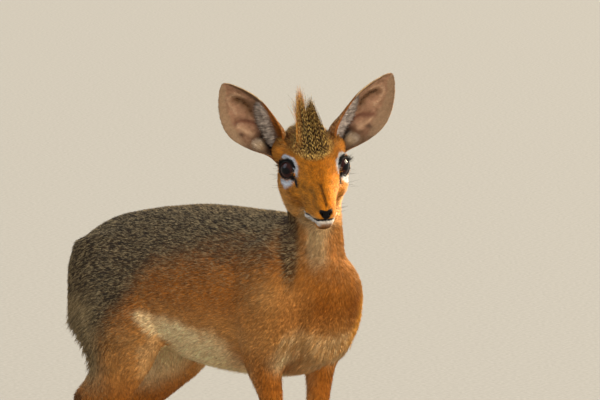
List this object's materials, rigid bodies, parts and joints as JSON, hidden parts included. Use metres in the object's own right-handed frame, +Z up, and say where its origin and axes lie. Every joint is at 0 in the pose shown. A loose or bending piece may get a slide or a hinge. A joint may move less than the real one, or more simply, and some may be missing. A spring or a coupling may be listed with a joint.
{
  "type": "dik-dik figure",
  "caption": "Life-size standing dik-dik with a grizzled back, tan flanks, a pale belly, big upright ears, a crown tuft and its head turned to its right.",
  "frame": {"origin": "on the floor, at the middle of the bounding box in plan", "axes": "+Z up; the body faces -Y; +X is to the animal's left"},
  "size_m": [0.1528, 0.3968, 0.5056],
  "materials": {
    "grizzled_coat": "short hair, banded dark and pale",
    "tan_coat": "short tan hair",
    "ear_skin": "thin skin with fine hair",
    "hoof_horn": "dark horn, satin",
    "eye_glass": "wet and glossy"
  },
  "bodies": {
    "root": {"torso": "grizzled_coat", "neck": "tan_coat", "head": "tan_coat", "tail": "grizzled_coat", "ear_left": "ear_skin", "ear_right": "ear_skin", "eye_left": "eye_glass", "eye_right": "eye_glass", "foreleg_left_upper": "tan_coat", "foreleg_left_lower": "tan_coat", "hoof_foreleg_left_outer": "hoof_horn", "hoof_foreleg_left_inner": "hoof_horn", "foreleg_right_upper": "tan_coat", "foreleg_right_lower": "tan_coat", "hoof_foreleg_right_outer": "hoof_horn", "hoof_foreleg_right_inner": "hoof_horn", "hindleg_left_upper": "tan_coat", "hindleg_left_lower": "tan_coat", "hoof_hindleg_left_outer": "hoof_horn", "hoof_hindleg_left_inner": "hoof_horn", "hindleg_right_upper": "tan_coat", "hindleg_right_lower": "tan_coat", "hoof_hindleg_right_outer": "hoof_horn", "hoof_hindleg_right_inner": "hoof_horn"}
  },
  "joints": []
}
